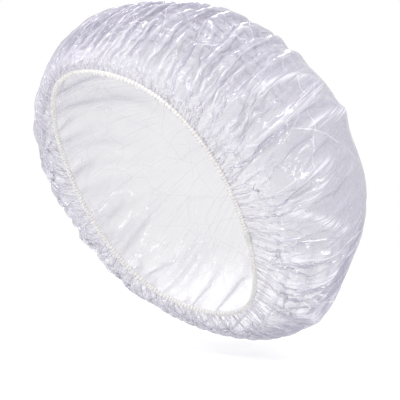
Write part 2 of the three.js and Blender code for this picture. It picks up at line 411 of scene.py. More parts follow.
def added_up(index, vectors, count):
    """The sum of the vectors that share an index."""
    return np.stack([np.bincount(index, vectors[:, c], count) for c in range(3)], 1)


def face_crosses(points):
    """A vector square to each triangle, twice as long as its area."""
    corner = points[triangles]
    return np.cross(corner[:, 1] - corner[:, 0], corner[:, 2] - corner[:, 0])


def point_normals(points):
    total = added_up(triangles.T.ravel(), np.tile(face_crosses(points), (3, 1)), len(points))
    return total / np.maximum(np.linalg.norm(total, axis=1), 1e-12)[:, None]


# %% Lay the film in pleats
PLEATS, FIRST_JOIN, SECOND_JOIN, SWEEP = (160, 80, 40), (0.006, 0.030), (0.035, 0.120), 2.5
JOIN_WANDER, PHASE_WANDER, CREST_ROUNDING, HEM_EASE = 0.006, 1.6, 0.97, 0.004
RIM_LIFT, SHAKE = 0.0011, 0.0002
wander = [(k, dice.uniform(0.3, 1), dice.uniform(0, 6.28)) for k in range(2, 9)]


def eased(value, low, high):
    t = np.clip((value - low) / (high - low), 0, 1)
    return t * t * (3 - 2 * t)


def drift(angle, scale):
    return scale * sum(size * np.sin(k * angle + phase) for k, size, phase in wander)


def pleated():
    """The film on the crown in pleats that take up its extra width: fine ones at the hem, which join into
    fewer and deeper ones further out."""
    along, angle = rim_place()
    smooth = laid_on_crown(along, angle)
    rate = np.linalg.norm(laid_on_crown(along, angle + 1e-3) - smooth, axis=1) / 1e-3
    spare = np.maximum(((1 - along) * FILM_RADIUS / np.maximum(rate, 1e-6)) ** 2 - 1, 0)
    from_hem = along * FILM_RADIUS
    uneven = from_hem + JOIN_WANDER * drift(3 * angle, 1)
    joined_once, joined_twice = eased(uneven, *FIRST_JOIN), eased(uneven, *SECOND_JOIN)
    shares = [1 - joined_once, joined_once * (1 - joined_twice), joined_twice]
    sweep = along * drift(2 * angle, SWEEP)
    offset = np.zeros(len(angle))
    for count, share in zip(PLEATS, shares):
        depth = 2 * np.pi * rate / count / 4 * np.sqrt(spare * share)
        phase = count * angle + count / PLEATS[-1] * drift(angle, PHASE_WANDER) + sweep
        offset += depth * 2 / np.pi * np.arcsin(CREST_ROUNDING * np.sin(phase))
    offset *= eased(from_hem, 0, HEM_EASE)
    offset += dice.normal(0, SHAKE, len(angle))
    laid = smooth + point_normals(smooth) * offset[:, None]
    laid[on_rim] = smooth[on_rim] + RIM_LIFT * UP
    return laid


film = pleated()
print("laid film, mm across:", (np.ptp(film, axis=0) * 1000).round(1))

# %% [markdown]
# ## Room for the film
# Air inside holds the film out a little, and the cap only reaches as far as its solid does. Both limits are
# measured as distances from a point in the middle of the crown, so each is one number for each direction.
# Film that was pulled on also keeps some long folds, which run from the hem up both sides of the crown.
# Along those the room itself stands out, and the film has to follow. Each is a line between two places,
# given by their heading and rise in degrees. Nothing hangs below the hem, which is held tight.

# %% Measure the room
HEADINGS, RISES = 480, 240
LONG_FOLDS = [
    (41, -17, 60, 30),
    (57, -21, 66, 38),
    (65, -2, 82, 40),
    (74, -24, 83, 12),
    (88, -15, 83, 10),
    (80, -19, 112, 5),
    (108, -28, 112, 2),
    (128, -23, 118, 0),
    (129, -25, 154, 2),
]
CREST_STAND, CREST_REACH, CREST_ENDS = 0.0045, 0.010, (-0.05, 0.25)
CREST_HOLD, CREST_TRIM = 0.8, 0.002
SIDE_SINK, TOP_SINK, SIDE_STAND, TOP_STAND = 0.005, 0.002, 0.004, 0.003
TOP_RISE, CLEAR_HEIGHT, CLEAR_LEAST = 0.8, 0.02, 0.4


def seen_from_middle(points):
    offset = points - MIDDLE
    distance = np.linalg.norm(offset, axis=1)
    rise = np.arcsin(np.clip(offset @ UP / np.maximum(distance, 1e-9), -1, 1))
    return np.arctan2(offset[:, 0], offset @ AHEAD), rise, distance, offset


def crown_distances():
    """The crown's distance for each heading and rise, and the hem's level for each heading."""
    turns = np.linspace(-np.pi, np.pi, 721)
    hem = hem_line(turns)
    headings = np.unwrap(np.arctan2(hem[:, 0], hem @ AHEAD + PEAK_SETBACK))
    shares = np.linspace(0, 2, 241)
    rows, levels = [], []
    for heading in np.linspace(-np.pi, np.pi, HEADINGS + 1):
        line = smooth_crown(np.full(shares.shape, np.interp(heading, headings, turns)), shares)
        _, rise, distance, _ = seen_from_middle(line)
        rows.append(np.interp(np.linspace(-np.pi / 2, np.pi / 2, RISES + 1), rise, distance))
        levels.append((line[0] - MIDDLE) @ UP)
    return np.array(rows), np.array(levels)


def crest_shares():
    """1 on the crest of a long fold and 0 away from it, for each heading and rise. Both sides are alike."""
    headings, rises = np.linspace(-180, 180, HEADINGS + 1), np.linspace(-90, 90, RISES + 1)
    heading, rise = np.meshgrid(headings, rises, indexing="ij")
    shares = np.zeros(heading.shape)
    for at, low, end, high in LONG_FOLDS + [(-a, b, -c, d) for a, b, c, d in LONG_FOLDS]:
        across, up = (end - at) * math.cos(math.radians((low + high) / 2)), high - low
        east, north = ((heading - at + 180) % 360 - 180) * np.cos(np.radians(rise)), rise - low
        along = (east * across + north * up) / (across**2 + up**2)
        held = np.clip(along, 0, 1)
        away = np.radians(np.hypot(east - held * across, north - held * up)) * crown_table
        crest = np.clip(1 - away / CREST_REACH, 0, 1) * eased(np.minimum(along, 1 - along), *CREST_ENDS)
        shares = np.maximum(shares, crest)
    return shares


crown_table, hem_levels = crown_distances()
crest_table = crest_shares()


def looked_up(table, heading, rise):
    """A table's value between its entries."""
    u, v = (heading / np.pi + 1) / 2 * HEADINGS, (rise / np.pi + 0.5) * RISES
    i, j = np.clip(u.astype(int), 0, HEADINGS - 1), np.clip(v.astype(int), 0, RISES - 1)
    a, b = u - i, v - j
    near = table[i, j] * (1 - b) + table[i, j + 1] * b
    far = table[i + 1, j] * (1 - b) + table[i + 1, j + 1] * b
    return near * (1 - a) + far * a


def kept_in_room(points):
    """The points moved to where the film may be: between both limits, and not below the hem."""
    heading, rise, distance, offset = seen_from_middle(points)
    crown, crest = looked_up(crown_table, heading, rise), looked_up(crest_table, heading, rise)
    hem_level = np.interp(heading, np.linspace(-np.pi, np.pi, HEADINGS + 1), hem_levels)
    top = np.clip(rise / TOP_RISE, 0, 1)
    clear = np.clip((offset @ UP - hem_level) / CLEAR_HEIGHT, CLEAR_LEAST, 1)
    sink = (SIDE_SINK + (TOP_SINK - SIDE_SINK) * top) * clear * (1 - CREST_HOLD * crest)
    stand = SIDE_STAND + (TOP_STAND - SIDE_STAND) * top - CREST_TRIM * crest
    kept = np.clip(distance, crown + CREST_STAND * crest - sink, crown + CREST_STAND * crest + stand)
    offset *= (kept / np.maximum(distance, 1e-9))[:, None]
    below = np.maximum(hem_level + RIM_LIFT - offset @ UP, 0)
    return MIDDLE + offset + below[:, None] * UP


print("crown from its middle, mm:", (np.percentile(crown_table, [0, 50, 100]) * 1000).round(1))

# %% [markdown]
# ## Letting the film buckle
# The film is treated as a net of threads that can't stretch, one for each edge of the mesh, with a weak
# spring across each pair of neighbouring triangles for its small stiffness. Each pass moves every point by
# the mean of what its threads ask for. Blender's Cloth could do this too, but film this light and this
# stiff in its own plane settles far sooner in a direct solver. It runs on a coarse mesh first, where the
# folds form, then for a few rounds on one with four times the triangles, where they sharpen.

# %% Write the solver
OVERSHOOT, KEPT_SPEED = 1.6, 0.9


def sides_of(triangles):
    """The two points of every side of every triangle, the lower one first."""
    return np.sort(triangles[:, [[0, 1], [1, 2], [2, 0]]].transpose(1, 0, 2).reshape(-1, 2), 1)


def paired_sides(triangles):
    """The sides in an order that puts the two of each inner edge together, that order, and the first of
    each such two."""
    ends = sides_of(triangles)
    key = ends[:, 0].astype(np.int64) * len(triangles) + ends[:, 1]
    order = np.argsort(key, kind="stable")
    pair = np.nonzero(key[order][1:] == key[order][:-1])[0]
    return ends[order], order, pair


def threads_of(triangles):
    """Each edge of the mesh once, and the two points opposite each inner edge."""
    ends, order, pair = paired_sides(triangles)
    across = triangles[:, [2, 0, 1]].T.ravel()[order]
    return np.delete(ends, pair + 1, axis=0), np.c_[across[pair], across[pair + 1]]


def settled(points, rounds, passes, bend, weight):
    """The film after some rounds, each of which lets it move on and then pulls its threads right."""
    edges, flaps = threads_of(triangles)
    edges = edges[~(on_rim[edges[:, 0]] & on_rim[edges[:, 1]])]
    ends = np.r_[edges, flaps]
    a, b = ends.T
    rest = np.linalg.norm(flat[a] - flat[b], axis=1)
    pull = np.r_[np.ones(len(edges)), np.full(len(flaps), bend)]
    pulled, count = np.r_[a, b], len(points)
    loose = (~on_rim)[:, None]
    share = OVERSHOOT * loose / np.maximum(np.bincount(pulled, np.r_[pull, pull], count), 1e-9)[:, None]
    now, before = points.copy(), points.copy()
    for _ in range(rounds):
        speed, before = KEPT_SPEED * (now - before), now.copy()
        now = now + speed * loose - weight * loose * (0, 0, 1)
        for _ in range(passes):
            gap = now[b] - now[a]
            length = np.sqrt(np.einsum("ij,ij->i", gap, gap))
            gap *= (0.5 * pull * (1 - rest / np.maximum(length, 1e-9)))[:, None]
            now += added_up(pulled, np.r_[gap, -gap], count) * share
        now = np.where(loose, kept_in_room(now), now)
    stretch = np.linalg.norm(now[edges[:, 0]] - now[edges[:, 1]], axis=1) / rest[: len(edges)]
    print("film of", count, "points, stretch:", np.percentile(stretch, [2, 50, 98]).round(3))
    return now


print("threads:", len(threads_of(triangles)[0]))

# %% Write the refinement
def refined(points, flat, triangles, on_rim):
    """Each triangle cut into four, with the new rim points on the disc's edge and on the hem line."""
    edges, which, uses = np.unique(sides_of(triangles), axis=0, return_inverse=True, return_counts=True)
    ab, bc, ca = len(points) + which.reshape(3, -1)
    a, b, c = triangles.T
    cut = [np.c_[a, ab, ca], np.c_[ab, b, bc], np.c_[ca, bc, c], np.c_[ab, bc, ca]]
    points = np.vstack([points, points[edges].mean(1)])
    flat = np.vstack([flat, flat[edges].mean(1)])
    on_rim = np.r_[on_rim, on_rim[edges].all(1) & (uses == 1)]
    angle = np.arctan2(flat[on_rim, 1], flat[on_rim, 0])
    flat[on_rim] = FILM_RADIUS * np.c_[np.cos(angle), np.sin(angle)]
    points[on_rim] = hem_line(turn_at(angle / (2 * np.pi) * HEM_LENGTH)) + RIM_LIFT * UP
    return points, flat, np.concatenate(cut), on_rim


print("triangles to come:", 4 * len(triangles))

# %% Let the folds form, then sharpen
film = settled(film, rounds=110, passes=6, bend=0.008, weight=3e-6)
film, flat, triangles, on_rim = refined(film, flat, triangles, on_rim)
film = settled(film, rounds=8, passes=6, bend=0.03, weight=0)
print("film, mm across:", (np.ptp(film, axis=0) * 1000).round(1), "triangles:", len(triangles))

# %% [markdown]
# ## Creasing the folds
# Cloth bends in round waves, but thin film breaks into flat facets with sharp creases between them. A
# filter that smooths the way the triangles face, except across strong folds, gives exactly that. The points
# then move until the triangles face those ways.

# %% Crease the film
def creased(points, rounds=3, softness=0.45, smoothings=4, moves=6):
    """The film with its small waves made into flat facets, and the triangles that meet at each edge."""
    a, b = neighbours = triangle_pairs()
    meeting = np.r_[a, b]
    uses = np.maximum(np.bincount(triangles.ravel(), minlength=len(points)), 1)[:, None]
    loose = (~on_rim)[:, None]
    for _ in range(rounds):
        facing, area = triangle_normals(points)
        for _ in range(smoothings):
            apart = ((facing[a] - facing[b]) ** 2).sum(1)
            alike = np.exp(-apart / (2 * softness**2))
            seen = np.vstack([facing[b], facing[a]]) * np.r_[alike * area[b], alike * area[a]][:, None]
            total = facing * area[:, None]
            total += added_up(meeting, seen, len(facing))
            facing = total / np.maximum(np.linalg.norm(total, axis=1), 1e-15)[:, None]
        for _ in range(moves):
            middle = points[triangles].mean(1)
            move = np.zeros_like(points)
            for corner in triangles.T:
                step = ((middle - points[corner]) * facing).sum(1)[:, None] * facing
                move += added_up(corner, step, len(points))
            points = points + move / uses * loose
    return points, neighbours


def triangle_normals(points):
    face = face_crosses(points)
    area = np.linalg.norm(face, axis=1)
    return face / np.maximum(area, 1e-15)[:, None], area


def triangle_pairs():
    """The two triangles on either side of each inner edge."""
    _, order, pair = paired_sides(triangles)
    owner = np.tile(np.arange(len(triangles)), 3)[order]
    return owner[pair], owner[pair + 1]


film, neighbours = creased(film)
facing, area = triangle_normals(film)
print("film area, m2:", round(area.sum() / 2, 4), "of", round(np.pi * FILM_RADIUS**2, 4), "flat")

# %% [markdown]
# ## The film as a piece
# The mesh keeps what its finish needs: where each point lay on the flat disc, the same as a direction and a
# distance from the disc's middle, how far it is from the hem, how sharply it is folded, because folded film
# turns milky along the crease, and how near it is to the crest of a long fold.

# %% Make the crown film
SLIGHT_TURN, CREASE_TURN = 0.08, 0.5
SPREAD_WIDTH = 2.04 * FILM_RADIUS


def new_piece(name, points, faces):
    mesh = bpy.data.meshes.new(name)
    mesh.from_pydata(points.tolist(), [], faces)
    mesh.polygons.foreach_set("use_smooth", np.ones(len(mesh.polygons), bool))
    piece = bpy.data.objects.new(name, mesh)
    scene.collection.objects.link(piece)
    return piece


def keep_value(piece, name, values):
    layer = piece.data.attributes.new(name, "FLOAT_VECTOR" if values.ndim == 2 else "FLOAT", "POINT")
    layer.data.foreach_set("vector" if values.ndim == 2 else "value", values.astype(np.float32).ravel())


def fold_sharpness(points):
    """0 where the film is flat and 1 along a tight crease."""
    a, b = neighbours
    turned = np.arccos(np.clip((facing[a] * facing[b]).sum(1), -1, 1))
    per_face = np.bincount(np.r_[a, b], np.r_[turned, turned], len(facing)) / 3
    total = np.bincount(triangles.ravel(), np.repeat(per_face, 3), len(points))
    mean = total / np.maximum(np.bincount(triangles.ravel(), minlength=len(points)), 1)
    return np.clip((mean - SLIGHT_TURN) / CREASE_TURN, 0, 1)


crown_film = new_piece("film_crown", film, triangles.tolist())
from_middle = np.hypot(*flat.T)
angle = np.arctan2(flat[:, 1], flat[:, 0])
fold = fold_sharpness(film)
keep_value(crown_film, "flat_place", np.c_[flat, np.zeros(len(flat))])
keep_value(crown_film, "round_place", np.c_[np.cos(angle), np.sin(angle), from_middle / FILM_RADIUS])
keep_value(crown_film, "from_hem", FILM_RADIUS - from_middle)
keep_value(crown_film, "fold", fold)
heading, rise, *_ = seen_from_middle(film)
keep_value(crown_film, "crest", looked_up(crest_table, heading, rise) ** 2)
spread_map = crown_film.data.uv_layers.new(name="OFBake")
spread = (flat / SPREAD_WIDTH + 0.5)[triangles]
spread_map.uv.foreach_set("vector", spread.astype(np.float32).ravel())
print("folds, shares:", np.percentile(fold, [25, 50, 75, 95]).round(2))

# %% [markdown]
# ## The hem's pieces
# The hem is four pieces on one line. The casing is the film's own edge, turned over and puckered by the
# elastic inside. The elastic is a covered strand. A zigzag thread sews the casing shut, and where the
# strand's ends meet, at the wearer's left, they are bound with thread whose trimmed ends stand out. The
# casing and the strand are swept along the hem line, with a section each, and the thread follows beside it.

# %% Sweep sections along the hem line
def hem_frame(turn):
    """The line's point and the directions along it, out of the opening and down from the crown."""
    at = hem_line(turn)
    along = hem_line(turn + 1e-4) - hem_line(turn - 1e-4)
    along /= np.linalg.norm(along, axis=-1)[..., None]
    out = at - (at @ UP)[..., None] * UP
    out -= (out * along).sum(-1)[..., None] * along
    out /= np.linalg.norm(out, axis=-1)[..., None]
    return at, along, out, np.cross(along, out)


def hem_offset(turns, distance, around):
    """Points at a distance from the hem line, at an angle that goes from out to down."""
    at, _, out, down = hem_frame(turns)
    return at + distance[:, None] * (np.cos(around)[:, None] * out + np.sin(around)[:, None] * down)


def tube_quads(rows, count, closed):
    """The faces of a tube of rows with so many points each."""
    row, i = np.arange(rows if closed else rows - 1)[:, None], np.arange(count)
    after, j = (row + 1) % rows, (i + 1) % count
    corners = [row * count + i, row * count + j, after * count + j, after * count + i]
    return np.stack(corners, -1).reshape(-1, 4).tolist()


def swept(turns, distance, around):
    """A tube round the whole hem line, with a section of distances and angles at each turn."""
    rows, count = distance.shape
    points = hem_offset(np.repeat(turns, count), distance.ravel(), np.tile(around, rows))
    return points, tube_quads(rows, count, True)


print("hem frame at the forehead:", hem_frame(np.array([0.0]))[0].round(4).tolist())

# %% Make the puckered casing
CASING_RADIUS, CASING_ROWS, CASING_SIDES = 0.0017, 1700, 16
PUCKER_PITCH, LEAN_PITCH = 0.0027, 0.017
FULLNESS, PUCKER_DEPTH, LEAN_DEPTH, LEAN_SIDE = 1.05, 0.09, 0.10, 0.6


def round_angles(count):
    return np.linspace(0, 2 * np.pi, count + 1)[:-1]


def wavering(travel, pitch, seed, count=5):
    """A wave round the hem whose pitch drifts, from -1 to 1."""
    local = np.random.default_rng(seed)
    whole = round(HEM_LENGTH / pitch)
    phase = travel / HEM_LENGTH * 2 * np.pi
    slip = sum(
        local.uniform(0.4, 1.2) * np.sin(k * phase + local.uniform(0, 6.28))
        for k in local.integers(3, 40, count)
    )
    return np.sin(whole * phase + slip)


travel = np.arange(CASING_ROWS) / CASING_ROWS * HEM_LENGTH
around = round_angles(CASING_SIDES)
pucker = wavering(travel, PUCKER_PITCH, 11)
lean = wavering(travel, LEAN_PITCH, 12)
on_face = 0.5 + 0.5 * np.cos(around - np.pi / 2)
casing_distance = CASING_RADIUS * (
    FULLNESS
    + PUCKER_DEPTH * pucker[:, None] * (0.5 + 0.5 * on_face)
    + LEAN_DEPTH * lean[:, None] * np.cos(around - LEAN_SIDE)
)
points, quads = swept(turn_at(travel), casing_distance, around)
casing = new_piece("film_casing", points, quads)
keep_value(casing, "pucker", np.repeat(0.5 + 0.5 * pucker, len(around)))
print("casing:", len(quads), "faces,", round(HEM_LENGTH / PUCKER_PITCH), "puckers")

# %% Make the elastic strand
STRAND_RADIUS, STRAND_ROWS, STRAND_SIDES = 0.00085, 900, 10
TWIST_PITCH, RIB_COUNT, RIB_DEPTH = 0.004, 5, 0.06

travel = np.arange(STRAND_ROWS) / STRAND_ROWS * HEM_LENGTH
around = round_angles(STRAND_SIDES)
twist = 2 * np.pi * round(HEM_LENGTH / TWIST_PITCH) * travel[:, None] / HEM_LENGTH
rib = np.cos(RIB_COUNT * around - twist)
strand_distance = STRAND_RADIUS * (1 + RIB_DEPTH * rib)
points, quads = swept(turn_at(travel), strand_distance, around)
strand = new_piece("elastic_strand", points, quads)
keep_value(strand, "rib", (0.5 + 0.5 * rib).ravel())
print("elastic strand, mm:", round(HEM_LENGTH * 1000))

# %% [markdown]
# ## Thread
# The thread is drawn as thin tubes along paths. The zigzag crosses the casing's face and pulls into it at
# each turn. The binding wraps round the join a few times, and its loose ends fray.

# %% Draw thread along a path
THREAD_RADIUS = 0.00024


def thread_tube(path, radius, sides=6):
    """A tube along a path of points, tapered by its radii, with its ends closed."""
    radius = np.broadcast_to(radius, len(path))
    run = np.gradient(path, axis=0)
    run /= np.maximum(np.linalg.norm(run, axis=1), 1e-12)[:, None]
    aside = np.cross(run, UP)
    aside /= np.maximum(np.linalg.norm(aside, axis=1), 1e-9)[:, None]
    away = np.cross(aside, run)
    turn = round_angles(sides)
    ring = np.cos(turn)[None, :, None] * aside[:, None] + np.sin(turn)[None, :, None] * away[:, None]
    points = (path[:, None] + radius[:, None, None] * ring).reshape(-1, 3)
    count = len(points)
    ends = [[*range(sides)][::-1], [*range(count - sides, count)]]
    return points, tube_quads(len(path), sides, False) + ends


def joined(tubes):
    points, faces, count = [], [], 0
    for tube_points, tube_faces in tubes:
        points.append(tube_points)
        faces += [[count + i for i in face] for face in tube_faces]
        count += len(tube_points)
    return np.concatenate(points), faces


print("thread, mm across:", round(2000 * THREAD_RADIUS, 2))

# %% Sew the zigzag
STITCH_PITCH, STITCH_STEPS, STITCH_REACH = 0.006, 16, math.radians(58)
STITCH_STAND, STITCH_PULL, THREAD_LIFT, CORNER_ROUNDING = 1.16, 0.10, 0.6, 0.985
JOIN_TURN, JOIN_LENGTH = math.radians(104), 0.008

join_travel = float(np.interp(JOIN_TURN, fine_turns, hem_travel))
stitch_count = round((HEM_LENGTH - JOIN_LENGTH) / STITCH_PITCH)
steps = np.linspace(0, stitch_count, stitch_count * STITCH_STEPS + 1)
travel = join_travel + JOIN_LENGTH / 2 + steps / stitch_count * (HEM_LENGTH - JOIN_LENGTH)
swing = 2 / np.pi * np.arcsin(CORNER_ROUNDING * np.sin(2 * np.pi * steps))
height = CASING_RADIUS * (STITCH_STAND - STITCH_PULL * np.abs(swing) ** 4) + THREAD_RADIUS * THREAD_LIFT
path = hem_offset(turn_at(travel), height, np.pi / 2 + STITCH_REACH * swing)
stitching = new_piece("zigzag_stitching", *thread_tube(path, THREAD_RADIUS))
print("stitches:", stitch_count)

# %% Bind the join
WRAPS, WRAP_STEPS, WRAP_STAND, WRAP_WAVER, WRAP_THICKNESS = 9, 18, 1.22, 0.00015, 1.25
FRAYED_ENDS, FRAYED_POINTS, FRAYED_REACH = 14, 9, (0.004, 0.010)
FRAYED_DROOP, FRAYED_CURL, FRAYED_TAPER = 0.6, 0.55, (0.8, 0.35)

knots = np.random.default_rng(21)
wraps = np.linspace(0, WRAPS, WRAPS * WRAP_STEPS + 1)
travel = join_travel - JOIN_LENGTH / 2 + JOIN_LENGTH * (wraps / WRAPS)
spin = 2 * np.pi * wraps
height = CASING_RADIUS * WRAP_STAND + THREAD_RADIUS + WRAP_WAVER * np.sin(3.1 * spin)
tubes = [thread_tube(hem_offset(turn_at(travel), height, spin), WRAP_THICKNESS * THREAD_RADIUS)]
for _ in range(FRAYED_ENDS):
    start = join_travel + knots.uniform(-0.5, 0.5) * JOIN_LENGTH
    at, along, out, down = (v[0] for v in hem_frame(turn_at(np.array([start]))))
    lean = knots.uniform(-0.9, 0.9)
    heading = down * math.cos(lean) - out * math.sin(lean) * 0.7 + along * knots.uniform(-0.8, 0.8)
    heading /= np.linalg.norm(heading)
    curl = np.cross(heading, along) * knots.uniform(-1, 1) - UP * FRAYED_DROOP
    reach = knots.uniform(*FRAYED_REACH)
    s = np.linspace(0, 1, FRAYED_POINTS)[:, None]
    path = at + heading * (CASING_RADIUS + reach * s) + curl * reach * FRAYED_CURL * s**2
    tubes.append(thread_tube(path, np.linspace(*FRAYED_TAPER, FRAYED_POINTS) * THREAD_RADIUS, 5))
binding = new_piece("join_binding", *joined(tubes))
print("binding:", len(tubes) - 1, "frayed ends")

# %% [markdown]
# ## Finishes that pieces share
# Two effects are used by more than one finish, so each is a node group. Crinkle is the net of small creases
# that thin film keeps from its packet. Haze is the slow change from clearer to milkier that blown film has.
# Both read a place on the surface and put out values only.

# %% Build the crinkle group
def group_of(name, inputs, outputs):
    tree = bpy.data.node_groups.new(name, "ShaderNodeTree")
    for label, kind, default in inputs:
        socket = tree.interface.new_socket(label, in_out="INPUT", socket_type=kind)
        if default is not None:
            socket.default_value = default
    for label in outputs:
        tree.interface.new_socket(label, in_out="OUTPUT", socket_type="NodeSocketFloat")
    return tree, tree.nodes.new("NodeGroupInput"), tree.nodes.new("NodeGroupOutput")


crinkle, given, result = group_of(
    "film_crinkle",
    [
        ("Place", "NodeSocketVector", None),
        ("Creases per Metre", "NodeSocketFloat", 45.0),
        ("Crease Width", "NodeSocketFloat", 0.05),
        ("Wander", "NodeSocketFloat", 0.012),
    ],
    ["Crease", "Facet"],
)
where = given.outputs["Place"]
bend = add(crinkle, "ShaderNodeTexNoise", {"Scale": 28.0, "Detail": 2.0}, {"Vector": where})
bent = {0: bend.outputs["Color"]}
off = add(crinkle, "ShaderNodeVectorMath", {1: (0.5, 0.5, 0.5)}, bent, operation="SUBTRACT").outputs[0]
by_wander = {0: off, "Scale": given.outputs["Wander"]}
scaled = add(crinkle, "ShaderNodeVectorMath", None, by_wander, operation="SCALE").outputs[0]
moved = add(crinkle, "ShaderNodeVectorMath", None, {0: where, 1: scaled}, operation="ADD").outputs[0]
cell_size = {"Vector": moved, "Scale": given.outputs["Creases per Metre"]}
net = add(crinkle, "ShaderNodeTexVoronoi", {"Randomness": 1.0}, cell_size, feature="DISTANCE_TO_EDGE")
cells = add(crinkle, "ShaderNodeTexVoronoi", {"Randomness": 1.0}, cell_size, feature="F1")
tint = add(crinkle, "ShaderNodeSeparateColor", None, {0: cells.outputs["Color"]})
one_to_none = {"From Min": 0.0, "To Min": 1.0, "To Max": 0.0}
from_line = {"Value": net.outputs["Distance"], "From Max": given.outputs["Crease Width"]}
crease = add(crinkle, "ShaderNodeMapRange", one_to_none, from_line, interpolation_type="SMOOTHSTEP")
crinkle.links.new(crease.outputs[0], result.inputs["Crease"])
crinkle.links.new(tint.outputs[0], result.inputs["Facet"])
print("crinkle nodes:", len(crinkle.nodes))

# %% Build the haze group
haze, given, result = group_of(
    "film_haze",
    [("Place", "NodeSocketVector", None), ("Patches per Metre", "NodeSocketFloat", 14.0)],
    ["Haze", "Speckle"],
)
where = given.outputs["Place"]
patches = {"Vector": where, "Scale": given.outputs["Patches per Metre"]}
slow = add(haze, "ShaderNodeTexNoise", {"Detail": 3.0, "Roughness": 0.55}, patches)
speckle = add(haze, "ShaderNodeTexNoise", {"Scale": 420.0, "Detail": 3.0}, {"Vector": where})
haze.links.new(slow.outputs["Fac"], result.inputs["Haze"])
haze.links.new(speckle.outputs["Fac"], result.inputs["Speckle"])
print("node groups:", [crinkle.name, haze.name])

# %% [markdown]
# ## The film's finish
# Film this thin lets most light through. What shows is its gloss, and a milky lavender grey wherever there
# is more of it to look through: edge on and along creases. So the Alpha is low on a flat facet that faces
# the eye, and rises with Layer Weight, along folds and on every kind of line that the film carries. Streaks
# run with the pleats, broken white streaks of painted highlight follow the crests of the long folds, and a
# few straight creases are left from its packet, where it lay folded. Beside the hem many layers lie behind
# one another, so each is thinner there and whiter, with fine grey lines of painted shade where it is
# gathered. Most of these lines raise the bump too, with small facets drawn out along the pleats.

# %% Draw the film's lines
def weighed(tree, *parts):
    """The sum of some values, each spread from its own low to its own high."""
    terms = [blend_values(tree, value, low, high) for value, low, high in parts]
    total = terms[0]
    for term in terms[1:]:
        total = both(tree, total, term, "ADD")
    return total


def tinted(tree, factor, low, high):
    """A colour that goes from low to high as the factor goes from 0 to 1."""
    mix = add(tree, "ShaderNodeMix", None, {"Factor": factor}, data_type="RGBA", clamp_factor=True)
    mix.inputs[6].default_value, mix.inputs[7].default_value = (*low, 1), (*high, 1)
    return mix.outputs[2]


def from_mesh(tree, name, output="Fac"):
    """What the mesh keeps under a name."""
    return add(tree, "ShaderNodeAttribute", attribute_name=name).outputs[output]


def raised(tree, surface, height, strength, distance):
    bump = add(tree, "ShaderNodeBump", {"Strength": strength, "Distance": distance}, {"Height": height})
    tree.links.new(bump.outputs[0], surface.inputs["Normal"])


def streak_lines(tree, place, scale, low, high):
    """Lines that run from the hem towards the middle of the sheet."""
    stretched = add(tree, "ShaderNodeMapping", {"Scale": scale}, {"Vector": place})
    noise = add(tree, "ShaderNodeTexNoise", {"Scale": 1.0, "Detail": 3.0}, {"Vector": stretched.outputs[0]})
    return ramp(tree, noise.outputs["Fac"], low, high)


def straight_creases(tree, place, lines):
    """Lines right across the sheet, given by the way they face in degrees, their distance from the sheet's
    middle and half their width."""
    total = None
    for degrees, distance, width in lines:
        way = (math.cos(math.radians(degrees)), math.sin(math.radians(degrees)), 0)
        along = add(tree, "ShaderNodeVectorMath", {1: way}, {0: place}, operation="DOT_PRODUCT")
        past = add(tree, "ShaderNodeMath", {1: distance}, {0: along.outputs["Value"]}, operation="SUBTRACT")
        away = add(tree, "ShaderNodeMath", None, {0: past.outputs[0]}, operation="ABSOLUTE")
        line = ramp(tree, away.outputs[0], 0.0, width, 1.0, 0.0)
        total = line if total is None else both(tree, total, line, "MAXIMUM")
    return total


PACKET_CREASES = [
    (8, 0.070, 0.0011),
    (11, -0.055, 0.0010),
    (6, -0.150, 0.0012),
    (97, 0.110, 0.0012),
    (92, -0.085, 0.0010),
    (52, 0.165, 0.0010),
    (133, 0.120, 0.0011),
    (148, -0.140, 0.0010),
]
WIDE_NET = {"Creases per Metre": 38.0, "Crease Width": 0.035}
FINE_NET = {"Creases per Metre": 190.0, "Crease Width": 0.06, "Wander": 0.005}
ALONG_PLEATS = (FILM_RADIUS, FILM_RADIUS, 0.2 * FILM_RADIUS)
FADED_PATCHES = {"From Min": 0.42, "From Max": 0.56}

film_finish, tree, surface = new_finish("clear_film")
flat_place, round_place = from_mesh(tree, "flat_place", "Vector"), from_mesh(tree, "round_place", "Vector")
drawn_out = add(tree, "ShaderNodeMapping", {"Scale": ALONG_PLEATS}, {"Vector": round_place}).outputs[0]
wide_net = add(tree, "ShaderNodeGroup", WIDE_NET, {"Place": flat_place}, node_tree=crinkle)
fine_net = add(tree, "ShaderNodeGroup", FINE_NET, {"Place": drawn_out}, node_tree=crinkle)
cloud = add(tree, "ShaderNodeGroup", None, {"Place": flat_place}, node_tree=haze)
faded = add(tree, "ShaderNodeMapRange", FADED_PATCHES, {"Value": cloud.outputs["Haze"]}).outputs[0]
packet = both(tree, straight_creases(tree, flat_place, PACKET_CREASES), faded, "MULTIPLY")
streaks = streak_lines(tree, round_place, (46, 46, 5), 0.55, 0.70)
fine_streaks = streak_lines(tree, round_place, (120, 120, 9), 0.55, 0.68)
# Painted highlight: broken white streaks along the crests of the long folds, whiter in colour and denser.
broken = streak_lines(tree, round_place, (70, 70, 4), 0.42, 0.58)
painted_crest_highlight = both(tree, from_mesh(tree, "crest"), broken, "MULTIPLY")
print("packet creases:", len(PACKET_CREASES), "nodes so far:", len(tree.nodes))

# %% Mix the film
THIN_REACH, GATHER_REACH, WHITE_REACH = 0.040, 0.034, 0.055
FILM_TINT, MILKY_AND_HIGHLIGHT_TINT, FILM_IOR = (0.38, 0.36, 0.47), (0.82, 0.80, 0.88), 1.9

